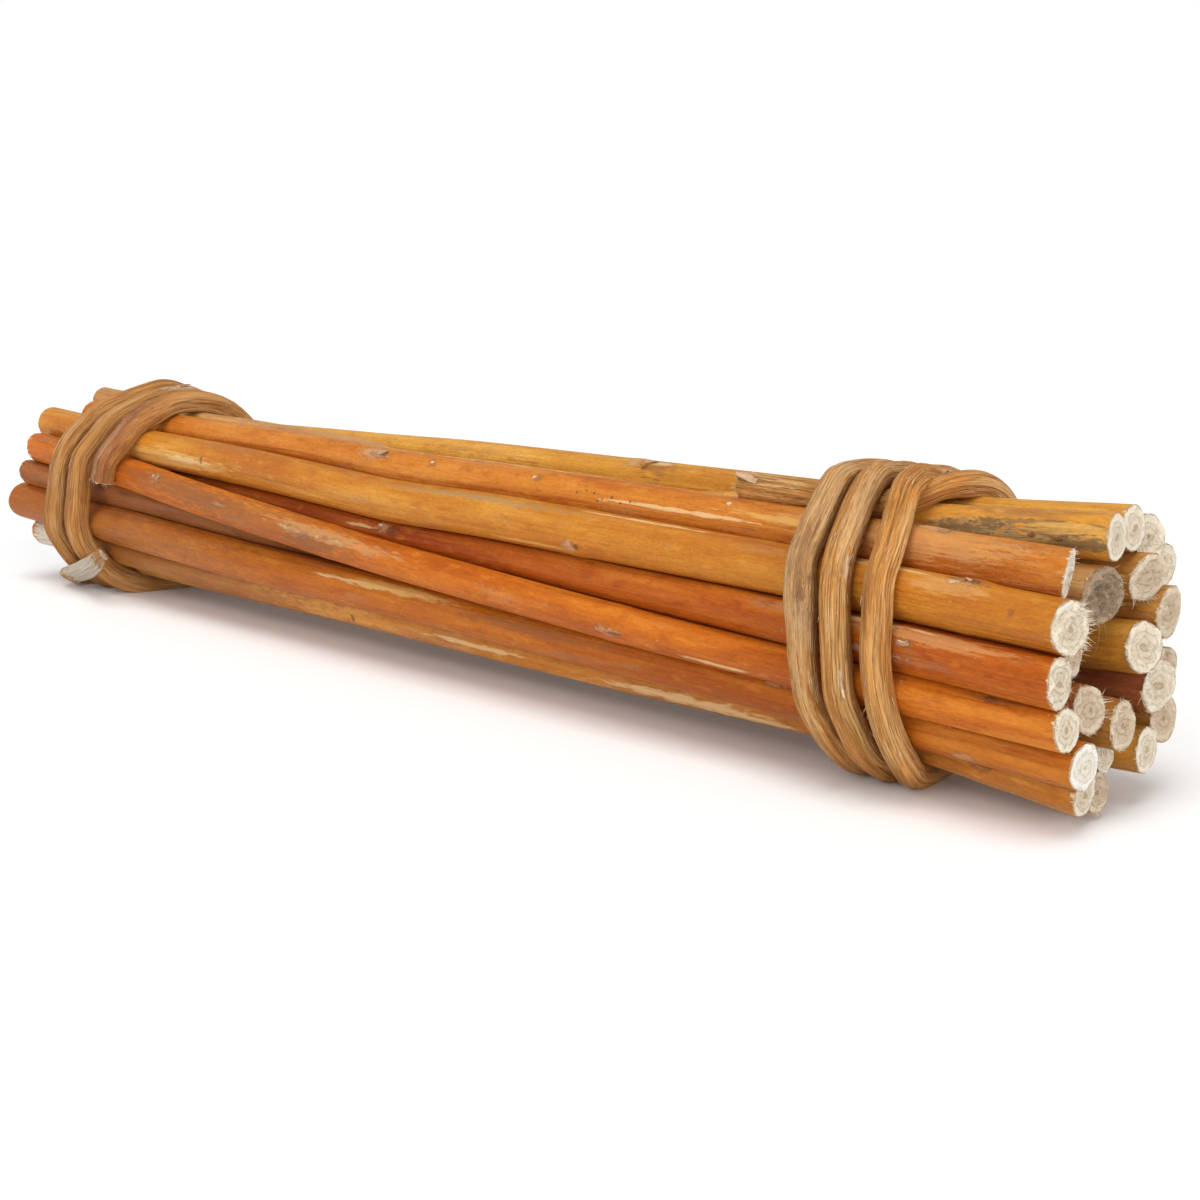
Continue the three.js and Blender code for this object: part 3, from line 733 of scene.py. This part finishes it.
tan_low_bark = bark_material(
    "tan_low_bark", 47.0, (0.51, 0.185, 0.026), (0.36, 0.11, 0.014), (0.64, 0.30, 0.065),
    marks=[("dark", -12.3, -26, 0.4, 0.7), ("pale", 52, -30, 14, 0.8), ("pale", 62, -44, 8, 0.5),
           ("silver", 92.5, 20, 1.6, 0.9), ("scar", 94.2, 18, 0.9, 0.6), ("shade", 93.5, 20, 2.6, 1.2),
           ("olive", 99, 58, 9, 0.7), ("bare", -99, 10, 5, 2.6), ("bare", -99, -60, 5, 2.6),
           # The long shade mark towards the far end of this twig is painted shade.
           ("pale", 15, -12, 10, 0.4), ("shade", -60, 0, 40, 3.5)],
    pores=0.4, chipped=0.8,
)
make_twig("twig_tan_low", 115, tan_low_bark, knots=[(93, 20, 0.24)], rough=0.06, rim=70, over=25, longest=0.6,
          flakes=[(91.8, 24, 2.0, 0.8, 0.45), (94.6, 16, -1.6, 0.8, 0.4)])


# THE UNDER AND BACK TWIGS
# The rods of the underside and the back close the round of the bundle. They differ in tone
# as the front ones do: some golden, some red-brown, some tan.

under_twigs = {
    "twig_under_front": ((0.44, 0.17, 0.025), (0.30, 0.10, 0.014), (0.56, 0.27, 0.06), tan_wood, 0.1, 0.9),
    "twig_under_back": ((0.50, 0.22, 0.035), (0.35, 0.12, 0.018), (0.62, 0.33, 0.08), pale_wood, 0.05, 0.5),
    "twig_back_low": ((0.42, 0.19, 0.04), (0.28, 0.10, 0.02), (0.54, 0.29, 0.08), tan_wood, 0.05, 0.5),
    "twig_back_lower": ((0.50, 0.19, 0.025), (0.35, 0.10, 0.012), (0.62, 0.29, 0.05), tan_wood, 0.12, 1.0),
    "twig_back": ((0.44, 0.13, 0.016), (0.30, 0.07, 0.009), (0.57, 0.22, 0.035), tan_wood, 0.14, 1.1),
    "twig_back_upper": ((0.54, 0.21, 0.028), (0.38, 0.12, 0.015), (0.66, 0.32, 0.065), pale_wood, 0.1, 1.2),
    "twig_back_high": ((0.50, 0.20, 0.03), (0.35, 0.11, 0.015), (0.64, 0.32, 0.07), pale_wood, 0.14, 1.2),
}
under_marks = (("silver", 1.6, 0.8), ("pale", 7, 0.4), ("dark", 0.6, 0.5), ("shade", 4, 1.1),
               ("nick", 0.5, 0.3), ("peeled", 9, 0.7), ("scar", 1.8, 0.9))
for order, (name, (base, dark, light, wood, rough, longest)) in enumerate(under_twigs.items()):
    dice = np.random.default_rng(300 + order)
    spots = dice.uniform((-80, -180), (80, 180), (len(under_marks), 2))
    marks = [(kind, *spot, *size) for spot, (kind, *size) in zip(spots, under_marks)]
    bark = bark_material(name.replace("twig", "bark"), 60.0 + 7 * order, base, dark, light, marks)
    knots = [(*spots[0], 0.2), (*spots[-1], 0.14)]
    flakes = [(*spots[0], 1.8, 0.9, 0.4), (*spots[-1], -2.0, 0.8, 0.4)]
    make_twig(name, 120 + order, bark, wood=wood, knots=knots, rough=rough, rim=80, over=50,
              longest=longest * 0.8, flakes=flakes)


# THE INNER TWIGS
# The rods inside the bundle are the same willow, held by their neighbours, and show only at
# its two ends and in the gaps between the outer ones. Away from their two ends their bark is
# painted darker, as painted shade in those gaps.

inner_twigs = {
    "twig_torn": ((0.42, 0.18, 0.035), (0.28, 0.10, 0.018), (0.54, 0.28, 0.07), tan_wood, 1.0),
    "twig_inner_back": ((0.44, 0.18, 0.03), (0.30, 0.10, 0.016), (0.56, 0.28, 0.06), tan_wood, 0.9),
    "twig_inner_gold": ((0.46, 0.19, 0.022), (0.30, 0.10, 0.012), (0.60, 0.31, 0.055), pale_wood, 0.9),
    "twig_inner_purple": ((0.30, 0.085, 0.03), (0.18, 0.04, 0.016), (0.42, 0.16, 0.06), pale_wood, 1.1),
    "twig_inner_pith": ((0.36, 0.15, 0.03), (0.22, 0.07, 0.014), (0.48, 0.24, 0.06), tan_wood, 0.6),
    "twig_inner_low": ((0.40, 0.16, 0.03), (0.25, 0.08, 0.014), (0.5, 0.25, 0.055), pale_wood, 0.8),
    "twig_inner_front": ((0.30, 0.085, 0.014), (0.18, 0.04, 0.008), (0.42, 0.15, 0.035), tan_wood, 0.8),
    "twig_crossing": ((0.32, 0.10, 0.022), (0.18, 0.045, 0.01), (0.42, 0.16, 0.04), tan_wood, 0.9),
}
for order, (name, (base, dark, light, wood, longest)) in enumerate(inner_twigs.items()):
    # Shade marks over each inner rod away from its ends: painted shade for the gaps between the outer rods.
    marks = [("shade", middle, clock, 46, 9) for middle in (-50, 48) for clock in (0, 180)]
    bark = bark_material(name.replace("twig", "bark"), 130.0 + 9 * order, base, dark, light, marks)
    make_twig(name, 140 + order, bark, wood=wood, rough=0.1, rim=80, over=50, longest=longest * 0.75,
              tufts=[(-90 + 40 * order, 40, 24, longest * 1.3, 0.6, 0.5)])


# THE BINDINGS
# Each is one green willow rod, wound round the bundle while it was soft and tucked under its
# own turns. Drying drew its bark into sharp lengthwise wrinkles and creased it at the bends.

binding_sides = 52
binding_step = 0.5
binding_swelling = 0.14
binding_solid_sides = 8
binding_node_length = 1.6
bark_fibres = 260
bark_fibre_thickness = 0.09


def binding_rings(name):
    """The rings of a binding's solid, found one after the other from its first end."""
    spots, edges = welded(name)
    beside = [set() for _ in spots]
    for a, b in edges[edges[:, 0] != edges[:, 1]].tolist():
        beside[a].add(b)
        beside[b].add(a)
    caps = [i for i, near in enumerate(beside) if len(near) == binding_solid_sides]
    first = min(caps, key=lambda i: spots[i, 0])
    seen, ring, rings = {first}, beside[first], []
    while len(ring) > 1:
        rings.append(spots[sorted(ring)])
        seen |= ring
        ring = set().union(*(beside[corner] for corner in ring)) - seen
    return rings


def unit(rows):
    """Each row scaled to a length of one."""
    return rows / np.linalg.norm(rows, axis=1, keepdims=True)


def binding_line(name):
    """Even steps along a binding: length so far, middle, forward, outward, sideways, half sizes."""
    rings = binding_rings(name)
    middles = np.array([ring.mean(axis=0) for ring in rings])
    gone = np.concatenate([[0], np.cumsum(np.linalg.norm(np.diff(middles, axis=0), axis=1))])
    bundle_middle = np.concatenate(rings).mean(axis=0)
    forward = unit(np.gradient(middles, gone, axis=0))
    outward = (middles - bundle_middle) * [0, 1, 1]
    sideways = unit(np.cross(forward, outward))
    outward = np.cross(sideways, forward)
    flat_share = math.cos(math.pi / binding_solid_sides)
    offsets = [ring - middle for ring, middle in zip(rings, middles)]
    wide = [np.abs(offset @ side).max() / flat_share for offset, side in zip(offsets, sideways)]
    deep = [-(offset @ out).min() / flat_share for offset, out in zip(offsets, outward)]
    steps = np.linspace(0, gone[-1], int(gone[-1] / binding_step))

    def even(values):
        return np.stack([smooth_through(gone, column, steps) for column in values.T], -1)

    forward, sideways = unit(even(forward)), unit(even(sideways))
    sizes = [np.interp(steps, gone, size) for size in (wide, deep)]
    return steps, even(middles), forward, np.cross(sideways, forward), sideways, sizes


def binding_body(shape, name, dice, knots, tapered):
    """The bark surface of a binding, flat where it rests. Returns its two ends, and bark_at."""
    along, middles, forward, outward, sideways, (wide, deep) = binding_line(name)
    to_tip = np.clip((along[-1] - along) / tapered, 0, 1) ** 0.6
    wide, deep = wide * (0.45 + 0.55 * to_tip), deep * (0.3 + 0.7 * to_tip)
    clock = np.arange(binding_sides) * 2 * np.pi / binding_sides
    relief = ridges(dice, (1, 2, 3, 6, 9, 13), (0.05, 0.09, 0.06, 0.045, 0.035, 0.03), 0.12)
    uneven = relief(clock[None, :], along[:, None]) * np.minimum(1, deep / 1.2)[:, None]
    for knot, tall in knots:
        uneven = uneven + (tall * np.exp(-(((along - knot) / binding_node_length) ** 2)))[:, None]
    out_side = -np.cos(clock)[None, :] * (wide[:, None] + binding_swelling + uneven)
    out_up = np.sin(clock)[None, :] * (deep[:, None] + binding_swelling + uneven)
    corners = middles[:, None] + sideways[:, None] * out_side[..., None]
    corners = corners + outward[:, None] * out_up[..., None]
    corners[..., 2] = np.maximum(corners[..., 2], 0.0)
    rod = np.stack([np.broadcast_to(along[:, None], out_side.shape), out_side, out_up], -1)
    cut = np.minimum(along, along[-1] - along)[:, None] + np.zeros_like(out_side)
    faces = strip_faces(len(along), binding_sides)
    shape.add(corners, faces, 0, rod, cut)
    first = dict(rim=corners[0], rod=rod[0], way=-forward[0], last=False)
    final = dict(rim=corners[-1], rod=rod[-1], way=forward[-1], last=True)

    def bark_at(spot, spot_clock):
        """A point on the bark and the way out of it."""
        middle, side, up = (np.stack([np.interp(spot, along, column) for column in columns.T], -1)
                            for columns in (middles, sideways, outward))
        out_wide = -np.cos(spot_clock) * (np.interp(spot, along, wide) + binding_swelling)
        out_high = np.sin(spot_clock) * (np.interp(spot, along, deep) + binding_swelling)
        out = side * out_wide[:, None] + up * out_high[:, None]
        return middle + out, unit(out)

    return first, final, bark_at


def wrinkled_bark_group():
    """Bark that shrank on drying: thin dark grooves between pale worn crests."""
    inputs = [("Rod", "vector"), ("Seed", "value"), ("Base", "colour"), ("Dark", "colour"),
              ("Light", "colour"), ("Crests", "value")]
    outputs = [("Colour", "colour"), ("Roughness", "value"), ("Height", "value")]
    tree, given, result = new_group("Wrinkled bark", inputs, outputs)
    worn_crest = (0.80, 0.58, 0.34, 1)

    def grooves(streak, width):
        from_middle = minus(tree, streak, 0.5)
        away = node(tree, "Math", {0: from_middle}, operation="ABSOLUTE").outputs[0]
        return ramp(tree, away, width, 0.0)

    deep = grooves(grain_streaks(tree, given, 0.04, 1.1, 0.0), 0.035)
    fine = grooves(grain_streaks(tree, given, 0.08, 3.0, 17.0), 0.05)
    patches = grain_streaks(tree, given, 0.06, 0.3, 29.0)
    crests = grain_streaks(tree, given, 0.2, 8.5, 41.0)
    skin = grain_streaks(tree, given, 1.2, 3.6, 53.0)
    colour = layered(tree, given["Base"], (
        (patches, 0.46, 0.3, 0.6, given["Dark"]),
        (patches, 0.5, 0.64, 0.75, given["Light"]),
    ))
    colour = blend(tree, times(tree, fine, 0.4), colour, given["Dark"])
    colour = blend(tree, times(tree, deep, 0.55), colour, given["Dark"])
    pale = times(tree, ramp(tree, crests, 0.5, 0.64, 0.0, 0.5), given["Crests"])
    colour = blend(tree, pale, colour, given["Light"])
    hollow = times(tree, ramp(tree, crests, 0.45, 0.3, 0.0, 0.5), given["Crests"])
    colour = blend(tree, hollow, colour, given["Dark"])
    worn = times(tree, ramp(tree, skin, 0.56, 0.68, 0.0, 0.4), ramp(tree, crests, 0.44, 0.54))
    colour = blend(tree, times(tree, worn, given["Crests"]), colour, worn_crest)
    tree.links.new(colour, result["Colour"])
    tree.links.new(ramp(tree, skin, 0.3, 0.7, 0.62, 0.5), result["Roughness"])
    relief = minus(tree, times(tree, crests, 0.34), times(tree, deep, 0.18))
    relief = plus(tree, relief, times(tree, skin, 0.05))
    tree.links.new(minus(tree, relief, times(tree, fine, 0.06)), result["Height"])
    return tree


wrinkled_bark = wrinkled_bark_group()


def binding_material(name, seed, base, dark, light, crests, marks):
    """The bark of one binding. A mark's place along is measured from the binding's first end."""
    material, tree, shader = new_material(name)
    rod = node(tree, "Attribute", attribute_name="rod").outputs["Vector"]
    sockets = {"Rod": rod, "Seed": seed, "Base": (*base, 1), "Dark": (*dark, 1), "Light": (*light, 1),
               "Crests": crests}
    bark = placed(tree, wrinkled_bark, sockets)
    colour, height = add_marks(tree, rod, bark["Colour"], bark["Height"], marks)
    finish_with(tree, shader, colour, bark["Roughness"], height)
    return material


def make_binding(name, seed, bark, knots=(), tapered=1.0, flakes=()):
    """One binding in place of its solid, with its cut ends, raised scales and loose bark fibres."""
    dice = np.random.default_rng(seed)
    shape = Shape()
    *ends, bark_at = binding_body(shape, name, dice, knots, tapered)
    for end in ends:
        cut_face(shape, dice, end, 0.12)
        rim_fibres(shape, dice, end, 70, 1.0)
        face_fibres(shape, dice, end, 40, 0.6)
    for flake in flakes:
        bud_flake(shape, bark_at, *flake)
    spots = dice.uniform(4, 300, bark_fibres)
    roots, out = bark_at(spots, dice.uniform(-0.2 * math.pi, 1.2 * math.pi, bark_fibres))
    one_side = np.zeros(bark_fibres)
    ahead = bark_at(spots + binding_step, one_side)[0] - bark_at(spots, one_side)[0]
    ways = unit(ahead) * dice.choice([-1.0, 1.0], (bark_fibres, 1))
    ways = ways + out * dice.uniform(0.05, 0.45, (bark_fibres, 1))
    loose_fibres(shape, dice, roots, ways, dice.uniform(0.5, 1.5, bark_fibres), bark_fibre_thickness, 0.25)
    piece = shape.make(name + "_rod", [bark, tan_wood, brown_fibres, bud_scale])
    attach(piece, "root")
    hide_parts(name)


near_binding_bark = binding_material(
    "near_binding_bark", 4.0, (0.60, 0.258, 0.060), (0.34, 0.115, 0.020), (0.75, 0.44, 0.17), 1.0,
    marks=[("worn", 324, 128, 18, 2.2), ("silver", 317.0, 128, 1.8, 0.9), ("scar", 319.6, 128, 1.0, 0.6),
           ("shade", 323, 125, 5, 1.2), ("nick", 218.7, 162, 1.5, 0.3), ("nick", 132.5, 148, 0.8, 0.4),
           ("nick", 207.5, 142, 1.2, 0.3), ("worn", 226, 150, 9, 1.4)])
make_binding("binding_near", 201, near_binding_bark, knots=[(319, 0.18)],
             flakes=[(317.6, 128, 2.6, 1.7, 0.12), (218.2, 165, 2.0, 0.3, 0.6), (133, 150, 1.4, 0.5, 0.8),
                     (207.5, 145, -1.8, 0.4, 0.6), (3.0, 100, -3.0, 1.3, 0.8), (2.6, 60, -1.6, 0.6, 0.4)])

far_binding_bark = binding_material(
    "far_binding_bark", 12.0, (0.53, 0.235, 0.065), (0.31, 0.11, 0.026), (0.64, 0.35, 0.135), 0.3,
    marks=[("ruddy", 6, 90, 12, 2.2), ("silver", 5, 100, 7, 0.6), ("bare", 307, 0, 10, 3.0),
           ("bare", 307, 120, 10, 3.0), ("bare", 307, -120, 10, 3.0), ("bare", 127, 112, 3.5, 0.8)])
make_binding("binding_far", 202, far_binding_bark, tapered=12.0, flakes=[(125, 112, 3.4, 1.2, 0.5)])


# THE STUDIO
# A plain pale floor under soft light, and the camera where the photographer stood: a little
# above the bundle, looking along it from beside its near end.

floor_mesh = bpy.data.meshes.new("floor")
half_floor = 12.0
floor_corners = [(-half_floor, -half_floor, 0), (half_floor, -half_floor, 0), (half_floor, half_floor, 0),
                 (-half_floor, half_floor, 0)]
floor_mesh.from_pydata(floor_corners, [], [(0, 1, 2, 3)])
floor = bpy.data.objects.new("floor", floor_mesh)
bpy.context.scene.collection.objects.link(floor)
floor_paper, _, paper = new_material("floor_paper")
paper.inputs["Base Color"].default_value = (0.93, 0.93, 0.93, 1)
paper.inputs["Roughness"].default_value = 1.0
paper.inputs["Specular IOR Level"].default_value = 0.0
floor_mesh.materials.append(floor_paper)

studio = bpy.data.worlds.new("studio")
studio.use_nodes = True
walls = studio.node_tree
direction = node(walls, "TexCoord").outputs["Generated"]
height_up = node(walls, "SeparateXYZ", {0: direction}).outputs["Z"]
glow = ramp(walls, height_up, 0.16, 0.4, 1.0, 0.42)
walls.nodes["Background"].inputs["Color"].default_value = (1, 1, 1, 1)
walls.links.new(glow, walls.nodes["Background"].inputs["Strength"])
bpy.context.scene.world = studio


def soft_light(name, aim, spread, strength):
    """Light from a large, far lamp: aim is the way that it shines."""
    light = bpy.data.lights.new(name, "SUN")
    light.angle = math.radians(spread)
    light.energy = strength
    lamp = bpy.data.objects.new(name, light)
    lamp.rotation_euler = Vector(aim).to_track_quat("-Z", "Y").to_euler()
    bpy.context.scene.collection.objects.link(lamp)


soft_light("overhead", (-0.1, 0.25, -1.0), 40, 1.5)
soft_light("from_the_front", (-0.1, 1.0, -0.6), 35, 0.7)
soft_light("from_the_near_end", (-1.0, 0.25, -0.3), 35, 1.6)

camera = bpy.data.cameras.new("camera")
camera.sensor_width = 36
camera.lens = 52.5
camera.clip_start = 0.01
viewer = bpy.data.objects.new("camera", camera)
viewer.location = (0.189296, -0.157439, 0.055618)
viewer.rotation_euler = (math.radians(90 - 10.885), 0, math.radians(45.5))
bpy.context.scene.collection.objects.link(viewer)
bpy.context.scene.camera = viewer
bpy.context.scene.view_settings.view_transform = "Standard"
